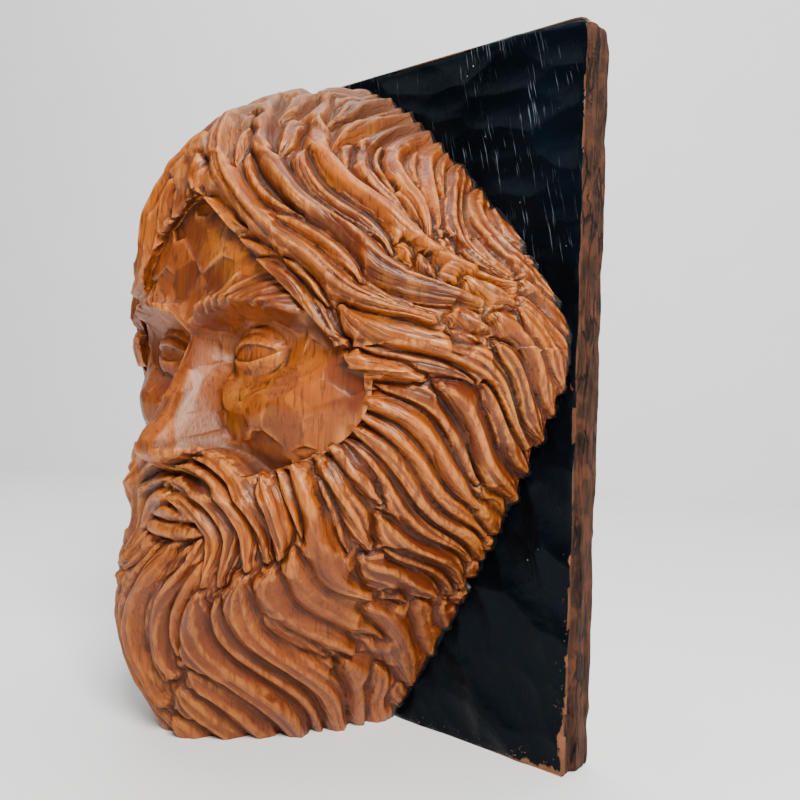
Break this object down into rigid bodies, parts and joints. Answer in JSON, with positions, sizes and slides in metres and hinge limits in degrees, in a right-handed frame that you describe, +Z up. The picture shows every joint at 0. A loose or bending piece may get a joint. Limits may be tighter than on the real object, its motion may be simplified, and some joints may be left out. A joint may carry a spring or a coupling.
{
  "type": "carved wooden wall head",
  "caption": "Bearded head carved in high relief from a half log, on a gouged black-painted ground with bark sides, a flat sawn back and a flat foot.",
  "frame": {"origin": "in the plane of the sawn foot, at the middle of the whole part's width and depth", "axes": "+Z up along the slab, +Y out of the flat back, X across the slab; the head looks along -Y"},
  "size_m": [0.3784, 0.2061, 0.48],
  "materials": {
    "varnished_wood": "varnished, with a black-painted ground and bare bark sides"
  },
  "bodies": {
    "root": {"carved_head": "varnished_wood"}
  },
  "joints": []
}
